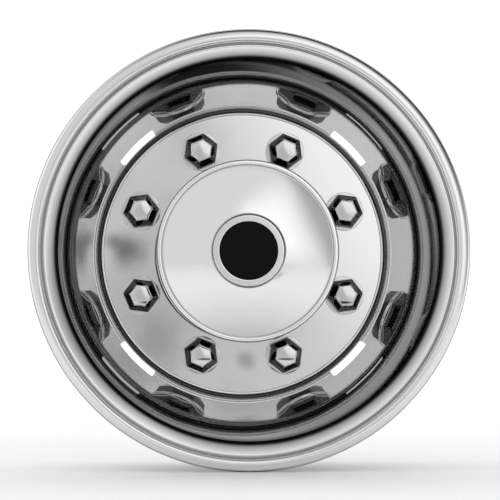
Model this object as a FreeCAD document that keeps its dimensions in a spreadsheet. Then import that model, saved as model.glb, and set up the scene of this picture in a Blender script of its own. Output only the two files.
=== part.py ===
import FreeCAD, Part
import math
import os
import Sketcher
from FreeCAD import Placement, Rotation, Vector

# Stainless cover for the outer rear wheel of a dual pair.
# The wheel axis is Y, the front faces -Y and +Z is up. Millimetres.
# The origin lies on the wheel axis, in the plane where the two jam nuts meet the wheel's own nuts.
# In the section tables below a height is counted forwards from the front face of the flat disc.

LUGS = 8
LUG_STEP = 360 / LUGS
FIRST_LUG = 22.5
REMOVABLE_LUGS = (4, 8)
FIXED_LUGS = [n for n in range(1, LUGS + 1) if n not in REMOVABLE_LUGS]
SLOTS = 4
FIRST_SLOT = 45
CLIPS = 4
CLIP_STEP = 360 / CLIPS
RETAINER_TEETH = 8
HEXAGON = 6
START, END, CENTRE = range(1, 4)
ORIGIN = -START
PROBE_TOLERANCE = 1e-6

DRIVING_DIMENSIONS = {
    # Wheel liner, outwards from the collar at the hub
    "liner_t": 1.0,
    "nut_stand": 8.0,
    "collar_inset": 5.0,
    "collar_depth": 7.0,
    "collar_bend": 2.5,
    "disc_margin": 13.7,
    "disc_bend": 4.0,
    "gutter_width": 2.6,
    "gutter_depth": 8.0,
    "gutter_bend": 2.0,
    "cone_width": 30.0,
    "cone_high": 57.0,
    "cone_bend": 4.0,
    "barrel_lean": 17.0,
    "barrel_high": 137.5,
    "brim_bend": 7.0,
    "flare_width": 15.5,
    "flare_rise": 7.0,
    "flare_bend": 2.0,
    "valley_width": 2.5,
    "valley_drop": 2.5,
    "valley_bend": 1.2,
    "lip_slope": 3.5,
    "lip_inner_bend": 4.0,
    "lip_rise": 6.0,
    "lip_width": 13.5,
    "lip_bend": 9.0,
    "lip_depth": 13.5,
    "hem_width": 5.5,
    "hem_bend": 2.5,
    # Slots between the lugs, low on the cone
    "slot_angle": 17.0,
    "slot_start": 11.0,
    "slot_width": 18.5,
    "slot_corner": 3.0,
    # Hub cover, inwards from its foot
    "hub_t": 1.0,
    "hub_lug_gap": 1.3,
    "hub_flange": 7.0,
    "hub_foot_bend": 3.0,
    "hub_wall_high": 146.0,
    "bead_out": 4.0,
    "bead_rise": 2.5,
    "bead_crown": 5.5,
    "bead_bend": 3.0,
    "bead_foot_bend": 2.0,
    "bead_width": 5.4,
    "bead_drop": 2.6,
    "bead_valley": 1.4,
    "bead_valley_bend": 1.2,
    "dome_slope": 27.7,
    "dome_rise": 14.2,
    "dome_bend": 180.0,
    "boss_rim": 9.7,
    "boss_foot_rise": 5.4,
    "boss_taper": 2.0,
    "boss_high": 4.0,
    "boss_bend": 1.5,
    "recess_depth": 2.0,
    "recess_bend": 0.4,
    # Badge blank
    "badge_r": 34.0,
    "badge_t": 3.0,
    "badge_edge": 1.0,
    "badge_gap": 0.3,
    # Lug covers and what holds them
    "lug_circle": 275.0,
    "lug_flange_r": 24.2,
    "lug_flange_edge": 0.6,
    "lug_flange_t": 2.0,
    "lug_flats": 40.6,
    "lug_shank_high": 17.0,
    "lug_shank_draft": 3.0,
    "lug_crown_high": 15.0,
    "lug_crown_draft": 27.0,
    "lug_edge": 2.0,
    "lug_wall": 1.6,
    "lug_skirt_r": 20.4,
    "lug_skirt_depth": 8.0,
    "lug_hole_gap": 0.4,
    "socket_r": 19.4,
    "socket_high": 9.5,
    "retainer_gap": 0.05,
    "retainer_width": 5.5,
    "retainer_t": 0.8,
    "retainer_slit": 2.0,
    "retainer_slit_depth": 2.5,
    # Jam nuts and the threaded sleeves in the two removable lug covers
    "stud_bore_r": 10.2,
    "jam_nut_r": 16.0,
    "jam_nut_long": 13.0,
    "spanner_slot_w": 4.0,
    "spanner_slot_depth": 3.0,
    "thread_gap": 0.05,
    "sleeve_wall": 2.3,
    "sleeve_long": 8.5,
    "press_gap": 0.02,
    # Spring clips of the hub cover
    "clip_t": 0.8,
    "clip_gap": 0.15,
    "clip_angle": 8.0,
    "clip_top_high": 30.0,
    "clip_foot_high": 7.0,
    "clip_waist_in": 1.2,
    "clip_hook_out": 2.5,
    "clip_hook_depth": 3.0,
    "clip_bend": 1.5,
    # How far a cutting shape passes the face that it cuts
    "cut_past": 1.0,
}

# Radii, outwards from the wheel axis, and heights, forwards from the disc, that several pieces share
HUB_R = "(Dims.lug_circle / 2 - Dims.lug_flange_r - Dims.hub_lug_gap - Dims.hub_flange)"
HUB_HOLE_R = f"({HUB_R} - Dims.collar_inset)"
DISC_R = "(Dims.lug_circle / 2 + Dims.lug_flange_r + Dims.disc_margin)"
GUTTER_R = f"({DISC_R} + Dims.gutter_width)"
CONE_RISE = "(Dims.gutter_depth + Dims.cone_high)"
CONE_SLANT = f"sqrt({CONE_RISE} ^ 2 + Dims.cone_width ^ 2)"
DOME_FOOT_HIGH = "(Dims.hub_wall_high + Dims.bead_rise + Dims.bead_crown - Dims.bead_drop)"
RECESS_R = "(Dims.badge_r + Dims.badge_gap)"
BOSS_HIGH = f"({DOME_FOOT_HIGH} + Dims.dome_rise + Dims.boss_foot_rise + Dims.boss_high)"
RECESS_HIGH = f"({BOSS_HIGH} - Dims.recess_depth)"
LUG_HIGH = "(Dims.lug_shank_high + Dims.lug_crown_high)"
SLEEVE_R = "(Dims.jam_nut_r + Dims.thread_gap)"
SLEEVE_END_HIGH = "(Dims.socket_high + Dims.sleeve_long)"


def make_sheet(doc):
    """Put every driving dimension in one sheet, with its name as alias."""
    sheet = doc.addObject("Spreadsheet::Sheet", "Dims")
    for row, (name, value) in enumerate(DRIVING_DIMENSIONS.items(), start=1):
        sheet.set(f"A{row}", name)
        sheet.set(f"B{row}", str(value))
        sheet.setAlias(f"B{row}", name)
    doc.recompute()
    return sheet


def number(sheet, expression):
    """Value of an expression on the sheet's cells."""
    value = sheet.evalExpression(expression)
    return float(getattr(value, "Value", value))


def bind(sketch, constraint, expression):
    """Add a dimension to a sketch and tie it to the sheet."""
    index = sketch.addConstraint(constraint)
    name = f"size_{index}"
    sketch.renameConstraint(index, name)
    sketch.setExpression(f"Constraints.{name}", expression)


def rounded_path(sheet, sketch, corners, closed=False):
    """Draw straight runs through the corners, each (x, y, radius) as expressions, with tangent arcs."""
    points = [Vector(number(sheet, x), number(sheet, y), 0) for x, y, _ in corners]
    radii = [number(sheet, r) if r else 0.0 for _, _, r in corners]
    count = len(points)
    leave = [None] * count
    enter = [None] * count
    arcs = {}
    for i, point in enumerate(points):
        leave[i] = enter[i] = point
        if not radii[i]:
            continue
        back = (points[i - 1] - point).normalize()
        ahead = (points[(i + 1) % count] - point).normalize()
        half = back.getAngle(ahead) / 2
        reach = radii[i] / math.tan(half)
        middle = (back + ahead).normalize()
        centre = point + middle * (radii[i] / math.sin(half))
        enter[i] = point + back * reach
        leave[i] = point + ahead * reach
        turns_left = back.cross(ahead).z < 0
        first = enter[i] if turns_left else leave[i]
        start = math.atan2(first.y - centre.y, first.x - centre.x)
        sweep = math.pi - 2 * half
        circle = Part.Circle(centre, Vector(0, 0, 1), radii[i])
        arc = sketch.addGeometry(Part.ArcOfCircle(circle, start, start + sweep), False)
        arcs[i] = (arc, START, END) if turns_left else (arc, END, START)
    runs = []
    for i in range(count if closed else count - 1):
        j = (i + 1) % count
        runs.append(sketch.addGeometry(Part.LineSegment(leave[i], enter[j]), False))
    for i, (x, y, radius) in enumerate(corners):
        mark = sketch.addGeometry(Part.Point(points[i]), True)
        bind(sketch, Sketcher.Constraint("DistanceX", ORIGIN, START, mark, START, points[i].x), x)
        bind(sketch, Sketcher.Constraint("DistanceY", ORIGIN, START, mark, START, points[i].y), y)
        before = runs[i - 1] if closed or i > 0 else None
        after = runs[i] if closed or i < count - 1 else None
        if i in arcs:
            arc, arc_in, arc_out = arcs[i]
            sketch.addConstraint(Sketcher.Constraint("Tangent", before, END, arc, arc_in))
            sketch.addConstraint(Sketcher.Constraint("Tangent", arc, arc_out, after, START))
            sketch.addConstraint(Sketcher.Constraint("PointOnObject", mark, START, before))
            sketch.addConstraint(Sketcher.Constraint("PointOnObject", mark, START, after))
            bind(sketch, Sketcher.Constraint("Radius", arc, radii[i]), radius)
            continue
        if before is not None:
            sketch.addConstraint(Sketcher.Constraint("Coincident", before, END, mark, START))
        if after is not None:
            sketch.addConstraint(Sketcher.Constraint("Coincident", after, START, mark, START))


def at_height(*sections):
    """Corners (radius, height, bend) in words of the sheet, turned into corners in the wheel's own plane."""
    return [(r, f"Dims.nut_stand - ({high})", bend) for r, high, bend in sections]


def spun_sheet(doc, sheet, name, corners, thickness, angle=None):
    """Sheet metal turned about the wheel axis, lying to the right of a path through the corners."""
    section = doc.addObject("Sketcher::SketchObject", f"{name}_section")
    rounded_path(sheet, section, corners)
    wall = doc.addObject("Part::Offset2D", f"{name}_wall")
    wall.Source = section
    wall.Mode = "Skin"
    wall.Fill = True
    wall.setExpression("Value", thickness)
    doc.recompute()
    first, second = (Vector(number(sheet, x), number(sheet, y), 0) for x, y, _ in corners[:2])
    along = (second - first).normalize()
    half = number(sheet, thickness) / 2
    inside = first + along * half + Vector(along.y, -along.x, 0) * half
    if not wall.Shape.Faces[0].isInside(inside, PROBE_TOLERANCE, True):
        wall.setExpression("Value", f"-{thickness}")
    spun = doc.addObject("Part::Revolution", f"{name}_spun")
    spun.Source = wall
    spun.Axis = Vector(0, 1, 0)
    spun.Base = Vector(0, 0, 0)
    spun.Solid = True
    spun.Angle = 360
    if angle:
        spun.setExpression("Angle", angle)
        spun.Symmetric = True
    return spun


def origin_plane(body, role):
    return next(f for f in body.Origin.OriginFeatures if f.Role == role)


def body_sketch(body, name, role):
    sketch = body.newObject("Sketcher::SketchObject", name)
    sketch.AttachmentSupport = [(origin_plane(body, role), "")]
    sketch.MapMode = "FlatFace"
    return sketch


def turned(sheet, body, name, corners, kind="Revolution"):
    """Turn a closed section about the body's own Y axis, added or cut away."""
    section = body_sketch(body, f"{name}_section", "XY_Plane")
    rounded_path(sheet, section, corners, closed=True)
    feature = body.newObject(f"PartDesign::{kind}", name)
    feature.Profile = section
    feature.ReferenceAxis = (section, ["V_Axis"])
    feature.Angle = 360
    body.Tip = feature
    return feature


def hexagon(sheet, sketch, flats):
    """Regular hexagon about the sketch's origin, given its width across flats."""
    reach = f"{flats} / 2 / cos(30)"
    size = number(sheet, reach)
    ring = sketch.addGeometry(Part.Circle(Vector(0, 0, 0), Vector(0, 0, 1), size), True)
    sketch.addConstraint(Sketcher.Constraint("Coincident", ring, CENTRE, ORIGIN, START))
    bind(sketch, Sketcher.Constraint("Radius", ring, size), reach)
    turn = 2 * math.pi / HEXAGON
    tips = [Vector(size * math.cos(turn * i), size * math.sin(turn * i), 0) for i in range(HEXAGON)]
    sides = []
    for i, tip in enumerate(tips):
        sides.append(sketch.addGeometry(Part.LineSegment(tip, tips[(i + 1) % HEXAGON]), False))
    for i, side in enumerate(sides):
        sketch.addConstraint(Sketcher.Constraint("Coincident", side, END, sides[(i + 1) % HEXAGON], START))
        sketch.addConstraint(Sketcher.Constraint("PointOnObject", side, START, ring))
        if i:
            sketch.addConstraint(Sketcher.Constraint("Equal", sides[0], side))
    sketch.addConstraint(Sketcher.Constraint("PointOnObject", sides[0], START, ORIGIN))


def hexagon_pad(sheet, body, name, flats, start, length, draft):
    """Hexagonal block forward of a plane at the start height, narrowing by its draft."""
    sketch = body_sketch(body, f"{name}_outline", "XZ_Plane")
    sketch.setExpression("AttachmentOffset.Base.z", start)
    hexagon(sheet, sketch, flats)
    pad = body.newObject("PartDesign::Pad", name)
    pad.Profile = sketch
    pad.setExpression("Length", length)
    pad.setExpression("TaperAngle", f"-{draft}")
    body.Tip = pad
    return pad


def seat_on_lug(body, lug):
    """Stand a body on its stud's axis, with its own zero height on the disc's front face."""
    angle = FIRST_LUG + LUG_STEP * (lug - 1)
    body.Placement = Placement(Vector(0, 0, 0), Rotation(Vector(0, 1, 0), -angle))
    body.setExpression("Placement.Base.x", f"Dims.lug_circle / 2 * cos({angle})")
    body.setExpression("Placement.Base.y", "Dims.nut_stand")
    body.setExpression("Placement.Base.z", f"Dims.lug_circle / 2 * sin({angle})")


def wheel_liner(doc, sheet):
    """Pressed dish: rolled lip, flare, barrel, slotted cone, gutter, flat disc with lug holes, collar."""
    cone_r = f"({GUTTER_R} + Dims.cone_width)"
    brim_r = f"({cone_r} + Dims.barrel_lean)"
    flare_r = f"({brim_r} + Dims.flare_width)"
    valley_r = f"({flare_r} + Dims.valley_width)"
    crown_r = f"({valley_r} + Dims.lip_slope)"
    lip_r = f"({crown_r} + Dims.lip_width)"
    brim_high = "(Dims.cone_high + Dims.barrel_high)"
    flare_high = f"({brim_high} + Dims.flare_rise)"
    lip_high = f"({flare_high} + Dims.lip_rise)"
    back_high = f"({lip_high} - Dims.lip_depth)"
    spun = spun_sheet(doc, sheet, "liner", at_height(
        (f"{lip_r} - Dims.hem_width", f"{back_high} - Dims.hem_bend / 2", None),
        (lip_r, back_high, "Dims.hem_bend"),
        (lip_r, lip_high, "Dims.lip_bend"),
        (crown_r, lip_high, "Dims.lip_inner_bend"),
        (valley_r, f"{flare_high} - Dims.valley_drop", "Dims.valley_bend"),
        (flare_r, flare_high, "Dims.flare_bend"),
        (brim_r, brim_high, "Dims.brim_bend"),
        (cone_r, "Dims.cone_high", "Dims.cone_bend"),
        (GUTTER_R, "-Dims.gutter_depth", "Dims.gutter_bend"),
        (DISC_R, "0", "Dims.disc_bend"),
        (HUB_HOLE_R, "0", "Dims.collar_bend"),
        (HUB_HOLE_R, "-Dims.collar_depth", None),
    ), "Dims.liner_t")
    tools = [lug_hole(doc, lug) for lug in range(1, LUGS + 1)]
    tools += [slot_cutter(doc, sheet, slot) for slot in range(SLOTS)]
    holes = doc.addObject("Part::MultiFuse", "liner_holes")
    holes.Shapes = tools
    liner = doc.addObject("Part::Cut", "wheel_liner")
    liner.Base = spun
    liner.Tool = holes
    return liner


def lug_hole(doc, lug):
    """Round tool for the disc's hole at one lug."""
    hole = doc.addObject("Part::Cylinder", f"lug_hole_{lug}")
    angle = FIRST_LUG + LUG_STEP * (lug - 1)
    hole.setExpression("Radius", "Dims.lug_skirt_r + Dims.lug_hole_gap")
    hole.setExpression("Height", "Dims.liner_t + 2 * Dims.cut_past")
    hole.Placement = Placement(Vector(0, 0, 0), Rotation(Vector(1, 0, 0), -90))
    hole.setExpression("Placement.Base.x", f"Dims.lug_circle / 2 * cos({angle})")
    hole.setExpression("Placement.Base.y", "Dims.nut_stand - Dims.cut_past")
    hole.setExpression("Placement.Base.z", f"Dims.lug_circle / 2 * sin({angle})")
    return hole


def slot_cutter(doc, sheet, slot):
    """Curved block that pierces the cone square to its wall, between two lugs."""
    rise = f"{CONE_RISE} / {CONE_SLANT}"
    run = f"Dims.cone_width / {CONE_SLANT}"
    inward = "Dims.cut_past"
    outward = "(Dims.liner_t + Dims.cut_past)"
    near = "Dims.slot_start"
    far = "(Dims.slot_start + Dims.slot_width)"

    def corner(along, out):
        x = f"{GUTTER_R} + {along} * {run} + {out} * {rise}"
        high = f"{along} * {rise} - {out} * {run} - Dims.gutter_depth"
        return x, high, None

    section = doc.addObject("Sketcher::SketchObject", f"slot_{slot}_section")
    rounded_path(sheet, section, at_height(
        corner(near, f"-{inward}"),
        corner(far, f"-{inward}"),
        corner(far, outward),
        corner(near, outward),
    ), closed=True)
    block = doc.addObject("Part::Revolution", f"slot_{slot}_block")
    block.Source = section
    block.Axis = Vector(0, 1, 0)
    block.Base = Vector(0, 0, 0)
    block.Symmetric = True
    block.Solid = True
    block.setExpression("Angle", "Dims.slot_angle")
    doc.recompute()
    through = number(sheet, f"{inward} + {outward}")
    corners = [i for i, e in enumerate(block.Shape.Edges, start=1)
               if e.Curve.TypeId == "Part::GeomLine" and math.isclose(e.Length, through, rel_tol=0.01)]
    cutter = doc.addObject("Part::Fillet", f"slot_{slot}_cutter")
    cutter.Base = block
    radius = number(sheet, "Dims.slot_corner")
    cutter.Edges = [(i, radius, radius) for i in corners]
    angle = FIRST_SLOT + 360 / SLOTS * slot
    cutter.Placement = Placement(Vector(0, 0, 0), Rotation(Vector(0, 1, 0), -angle))
    return cutter


def hub_cover(doc, sheet):
    """Drawn cup over the axle end: foot flange, wall, rolled bead, dome and a boss recessed for the badge."""
    bead_r = f"({HUB_R} + Dims.bead_out)"
    ridge_r = f"({bead_r} - Dims.bead_width)"
    dome_foot_r = f"({ridge_r} - Dims.bead_valley)"
    boss_r = f"({RECESS_R} + Dims.boss_rim)"
    bead_foot = "(Dims.hub_wall_high + Dims.bead_rise)"
    bead_top = f"({bead_foot} + Dims.bead_crown)"
    dome_high = f"({DOME_FOOT_HIGH} + Dims.dome_rise)"
    cover = spun_sheet(doc, sheet, "hub_cover", at_height(
        (f"{HUB_R} + Dims.hub_flange", "Dims.hub_t", None),
        (HUB_R, "Dims.hub_t", "Dims.hub_foot_bend"),
        (HUB_R, "Dims.hub_wall_high", "Dims.bead_foot_bend"),
        (bead_r, bead_foot, "Dims.bead_foot_bend"),
        (bead_r, bead_top, "Dims.bead_bend"),
        (ridge_r, bead_top, "Dims.bead_foot_bend"),
        (dome_foot_r, DOME_FOOT_HIGH, "Dims.bead_valley_bend"),
        (f"{dome_foot_r} - Dims.dome_slope", dome_high, "Dims.dome_bend"),
        (boss_r, f"{dome_high} + Dims.boss_foot_rise", "Dims.boss_bend"),
        (f"{boss_r} - Dims.boss_taper", BOSS_HIGH, "Dims.boss_bend"),
        (RECESS_R, BOSS_HIGH, "Dims.hub_t + Dims.recess_bend / 2"),
        (RECESS_R, RECESS_HIGH, "Dims.recess_bend"),
        ("0", RECESS_HIGH, None),
    ), "Dims.hub_t")
    cover.Label = "hub_cover"
    return cover


def badge_blank(doc, sheet):
    """Plain black disc that sits in the boss."""
    body = doc.addObject("PartDesign::Body", "badge_blank")
    front = f"{RECESS_HIGH} + Dims.badge_t"
    turned(sheet, body, "badge", at_height(
        ("0", RECESS_HIGH, None),
        ("Dims.badge_r", RECESS_HIGH, "Dims.recess_bend"),
        ("Dims.badge_r", front, "Dims.badge_edge"),
        ("0", front, None),
    ))
    return body


def lug_cover(doc, sheet, lug):
    """Hollow hexagonal cap, with a skirt through the disc if fixed, or a sleeve's seat if removable."""
    fixed = lug in FIXED_LUGS
    body = doc.addObject("PartDesign::Body", f"lug_cover_{lug}")
    skirt = "Dims.lug_skirt_depth" if fixed else "Dims.liner_t"
    turned(sheet, body, "flange", [
        ("0", "-Dims.lug_flange_t", None),
        ("Dims.lug_flange_r", "-Dims.lug_flange_t", "Dims.lug_flange_edge"),
        ("Dims.lug_flange_r", "0", None),
        ("Dims.lug_skirt_r", "0", None),
        ("Dims.lug_skirt_r", skirt, None),
        ("0", skirt, None),
    ])
    hexagon_pad(sheet, body, "shank", "Dims.lug_flats", "0", "Dims.lug_shank_high", "Dims.lug_shank_draft")
    crown_flats = "(Dims.lug_flats - 2 * Dims.lug_shank_high * tan(Dims.lug_shank_draft))"
    hexagon_pad(sheet, body, "crown", crown_flats, "Dims.lug_shank_high", "Dims.lug_crown_high",
                "Dims.lug_crown_draft")
    doc.recompute()
    soften_hexagon(sheet, body)
    inside = f"{crown_flats} / 2 - Dims.lug_wall"
    room = nut_socket(skirt, inside) if fixed else sleeve_seat(skirt)
    top = f"({LUG_HIGH} - Dims.lug_wall)"
    top_r = f"{inside} - ({top} - Dims.lug_shank_high) * tan(Dims.lug_crown_draft)"
    turned(sheet, body, "hollow", room + [(top_r, f"-{top}", None), ("0", f"-{top}", None)], kind="Groove")
    seat_on_lug(body, lug)
    return body


def nut_socket(skirt, inside):
    """Section of the room for the wheel's nut: a round socket that narrows to the foot of the crown."""
    return [
        ("0", f"{skirt} + Dims.cut_past", None),
        ("Dims.socket_r", f"{skirt} + Dims.cut_past", None),
        ("Dims.socket_r", "-Dims.socket_high", None),
        (inside, "-Dims.lug_shank_high", None),
    ]


def sleeve_seat(skirt):
    """Section of the room for the nut, then the narrower seat that the threaded sleeve is pressed into."""
    seat_r = f"{SLEEVE_R} + Dims.sleeve_wall + Dims.press_gap"
    return [
        ("0", f"{skirt} + Dims.cut_past", None),
        ("Dims.socket_r", f"{skirt} + Dims.cut_past", None),
        ("Dims.socket_r", "-Dims.socket_high", None),
        (seat_r, "-Dims.socket_high", None),
        (seat_r, f"-{SLEEVE_END_HIGH}", None),
    ]


def soften_hexagon(sheet, body):
    """Round the edges of the hexagon above the flange, as pressed sheet has them."""
    base = body.Tip
    flange_front = -number(sheet, "Dims.lug_flange_t")
    clear = flange_front - number(sheet, "Dims.lug_edge") / 2
    names = [f"Edge{i}" for i, e in enumerate(base.Shape.Edges, start=1) if e.BoundBox.YMin < clear]
    fillet = body.newObject("PartDesign::Fillet", "soft_edges")
    fillet.Base = (base, names)
    fillet.setExpression("Radius", "Dims.lug_edge")
    body.Tip = fillet


def lug_retainer(doc, sheet, lug):
    """Push-on spring ring behind the disc, with slits that leave gripping teeth."""
    body = doc.addObject("PartDesign::Body", f"lug_retainer_{lug}")
    inner = "Dims.lug_skirt_r + Dims.retainer_gap"
    outer = f"{inner} + Dims.retainer_width"
    turned(sheet, body, "ring", [
        (inner, "Dims.liner_t", None),
        (outer, "Dims.liner_t", None),
        (outer, "Dims.liner_t + Dims.retainer_t", None),
        (inner, "Dims.liner_t + Dims.retainer_t", None),
    ])
    outline = body_sketch(body, "slit_outline", "XZ_Plane")
    half = "Dims.retainer_slit / 2"
    rounded_path(sheet, outline, [
        ("Dims.lug_skirt_r - Dims.cut_past", f"-{half}", None),
        (f"{inner} + Dims.retainer_slit_depth", f"-{half}", None),
        (f"{inner} + Dims.retainer_slit_depth", half, None),
        ("Dims.lug_skirt_r - Dims.cut_past", half, None),
    ], closed=True)
    slit = body.newObject("PartDesign::Pocket", "slit")
    slit.Profile = outline
    slit.Type = "ThroughAll"
    slit.Midplane = True
    body.Tip = slit
    teeth = body.newObject("PartDesign::PolarPattern", "teeth")
    teeth.Originals = [slit]
    teeth.Axis = (outline, ["N_Axis"])
    teeth.Angle = 360
    teeth.Occurrences = RETAINER_TEETH
    body.Tip = teeth
    seat_on_lug(body, lug)
    return body


def jam_nut(doc, sheet, lug):
    """Round nut on the stud's end, threaded inside for the stud and outside for the sleeve."""
    body = doc.addObject("PartDesign::Body", f"jam_nut_{lug}")
    front = "Dims.nut_stand + Dims.jam_nut_long"
    turned(sheet, body, "barrel", [
        ("Dims.stud_bore_r", "-Dims.nut_stand", None),
        ("Dims.jam_nut_r", "-Dims.nut_stand", None),
        ("Dims.jam_nut_r", f"-({front})", None),
        ("Dims.stud_bore_r", f"-({front})", None),
    ])
    outline = body_sketch(body, "spanner_outline", "XY_Plane")
    half = "Dims.spanner_slot_w / 2"
    rounded_path(sheet, outline, [
        (f"-{half}", f"-({front}) - Dims.cut_past", None),
        (half, f"-({front}) - Dims.cut_past", None),
        (half, f"-({front}) + Dims.spanner_slot_depth", None),
        (f"-{half}", f"-({front}) + Dims.spanner_slot_depth", None),
    ], closed=True)
    slot = body.newObject("PartDesign::Pocket", "spanner_slot")
    slot.Profile = outline
    slot.Type = "ThroughAll"
    slot.Midplane = True
    body.Tip = slot
    seat_on_lug(body, lug)
    return body


def lug_sleeve(doc, sheet, lug):
    """Threaded sleeve pressed into a removable lug cover, which screws onto the jam nut."""
    body = doc.addObject("PartDesign::Body", f"lug_sleeve_{lug}")
    outer = f"{SLEEVE_R} + Dims.sleeve_wall"
    turned(sheet, body, "sleeve", [
        (SLEEVE_R, "-Dims.socket_high", None),
        (outer, "-Dims.socket_high", None),
        (outer, f"-{SLEEVE_END_HIGH}", None),
        (SLEEVE_R, f"-{SLEEVE_END_HIGH}", None),
    ])
    seat_on_lug(body, lug)
    return body


def hub_clip(doc, sheet, clip):
    """Spring strip spot-welded inside the hub cover; its hook snaps behind the disc's collar."""
    name = f"hub_clip_{clip}"
    wall_r = f"{HUB_R} - Dims.hub_t - Dims.clip_gap"
    waist_r = f"{HUB_HOLE_R} - Dims.clip_waist_in"
    strip = spun_sheet(doc, sheet, name, at_height(
        (f"{HUB_HOLE_R} + Dims.clip_hook_out", "-Dims.collar_depth - Dims.clip_hook_depth", None),
        (waist_r, "-Dims.collar_depth", "Dims.clip_bend"),
        (waist_r, "0", "Dims.clip_bend"),
        (wall_r, "Dims.clip_foot_high", "Dims.clip_bend"),
        (wall_r, "Dims.clip_top_high", None),
    ), "Dims.clip_t", angle="Dims.clip_angle")
    strip.Label = name
    angle = CLIP_STEP * (clip - 1)
    strip.Placement = Placement(Vector(0, 0, 0), Rotation(Vector(0, 1, 0), -angle))
    return strip


def check(doc, parts):
    """Stop if anything in the document failed or a part isn't a sound solid."""
    for item in doc.Objects:
        if "Invalid" in item.State or "Error" in item.State:
            raise RuntimeError(f"{item.Label} failed: {item.State}")
    for part in parts:
        if part.Shape.isNull() or not part.Shape.isValid() or len(part.Shape.Solids) != 1:
            raise RuntimeError(f"{part.Label} is not one sound solid")


def main():
    doc = FreeCAD.newDocument("wheel_cover")
    sheet = make_sheet(doc)
    parts = [wheel_liner(doc, sheet), hub_cover(doc, sheet), badge_blank(doc, sheet)]
    parts += [lug_cover(doc, sheet, lug) for lug in range(1, LUGS + 1)]
    parts += [lug_retainer(doc, sheet, lug) for lug in FIXED_LUGS]
    parts += [jam_nut(doc, sheet, lug) for lug in REMOVABLE_LUGS]
    parts += [lug_sleeve(doc, sheet, lug) for lug in REMOVABLE_LUGS]
    parts += [hub_clip(doc, sheet, clip) for clip in range(1, CLIPS + 1)]
    doc.recompute()
    check(doc, parts)
    os.makedirs("parts", exist_ok=True)
    for part in parts:
        part.Shape.exportStep(os.path.join("parts", f"{part.Label}.step"))
        box = part.Shape.BoundBox
        print(f"{part.Label}: volume {part.Shape.Volume:.0f}, y {box.YMin:.2f} to {box.YMax:.2f}")


main()
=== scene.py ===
import math

import bmesh
import bpy
from bpy.props import FloatProperty, FloatVectorProperty, PointerProperty
from mathutils import Matrix, Vector


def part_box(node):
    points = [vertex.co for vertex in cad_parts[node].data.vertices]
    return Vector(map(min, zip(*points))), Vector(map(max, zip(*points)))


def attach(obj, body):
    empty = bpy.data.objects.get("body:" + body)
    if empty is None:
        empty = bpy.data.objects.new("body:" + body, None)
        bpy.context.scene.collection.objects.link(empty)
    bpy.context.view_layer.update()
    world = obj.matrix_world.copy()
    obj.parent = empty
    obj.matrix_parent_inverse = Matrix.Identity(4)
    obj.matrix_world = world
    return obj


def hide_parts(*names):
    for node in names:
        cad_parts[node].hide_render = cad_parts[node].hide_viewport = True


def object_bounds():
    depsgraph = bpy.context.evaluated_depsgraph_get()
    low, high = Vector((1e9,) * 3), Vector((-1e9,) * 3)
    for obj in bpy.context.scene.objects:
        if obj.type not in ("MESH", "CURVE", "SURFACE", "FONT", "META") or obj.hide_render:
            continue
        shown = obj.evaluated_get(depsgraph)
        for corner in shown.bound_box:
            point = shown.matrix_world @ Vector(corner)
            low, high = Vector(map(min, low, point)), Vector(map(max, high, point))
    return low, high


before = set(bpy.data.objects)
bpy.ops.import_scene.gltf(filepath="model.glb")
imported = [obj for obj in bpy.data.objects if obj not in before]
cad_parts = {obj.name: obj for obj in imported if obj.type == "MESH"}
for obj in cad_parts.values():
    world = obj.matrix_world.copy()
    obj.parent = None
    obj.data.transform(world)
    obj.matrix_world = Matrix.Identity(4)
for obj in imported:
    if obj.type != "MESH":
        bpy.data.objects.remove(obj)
CAD_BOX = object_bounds()

bl_info = {
    "name": "Wheel Cover",
    "version": (1, 0, 0),
    "blender": (4, 5, 0),
    "location": "View3D > Sidebar > Wheel Cover",
    "description": "Deep polished cover for an outer rear wheel, with its lug caps and hub cover",
    "category": "Object",
}

# The wheel axis is Y, the front faces -Y and +Z is up. A height is counted forwards from the flat disc.
MM = 0.001
LUGS = range(1, 9)
REMOVABLE_LUGS = (4, 8)
FIXED_LUGS = [n for n in LUGS if n not in REMOVABLE_LUGS]
CLIPS = range(1, 5)
SLOTS = 4
HEXAGON = 6
DISC_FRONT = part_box("hub_cover")[1].y
WHEEL_AXIS = Vector((0, 1, 0))
FORWARD = Vector((0, -1, 0))
SPIN_STEPS = 288
CAP_STEPS = 72
EDGE_STEPS = 5
CORNER_STEPS = 6
BEND_STEP = math.radians(10)
ARC_STEP = 3.0 * MM
SHARP = math.radians(35)
SUPPORT = 0.5 * MM
MERGE = 0.001 * MM
CUT_PAST = 2.0 * MM

# Patches of painted shade on the disc, which dim its reflection: place right of and over the axis, size, and
# share of the shine lost.
SHADE_PATCHES = (
    (-146 * MM, 5 * MM, 36 * MM, 0.62),
    (-164 * MM, 14 * MM, 18 * MM, 0.4),
    (-118 * MM, -112 * MM, 60 * MM, 0.3),
    (-90 * MM, -60 * MM, 190 * MM, 0.2),
    (4 * MM, -133 * MM, 20 * MM, 0.35),
    (-60 * MM, 145 * MM, 60 * MM, 0.12),
)


def length(name, description, millimetres):
    """A size that shows in scene units."""
    return FloatProperty(name=name, description=description, default=millimetres * MM, min=0.0,
                         unit="LENGTH", precision=5)


def angle(name, description, degrees):
    return FloatProperty(name=name, description=description, default=math.radians(degrees), unit="ROTATION")


def share(name, description, value):
    return FloatProperty(name=name, description=description, default=value, min=0.0, max=1.0,
                         subtype="FACTOR")


def strength(name, description, value):
    """Strength of a light, or how much of it is lost."""
    return FloatProperty(name=name, description=description, default=value)


def colour(name, description, value):
    return FloatVectorProperty(name=name, description=description, default=value, min=0.0, max=1.0,
                               size=3, subtype="COLOR")


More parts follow.
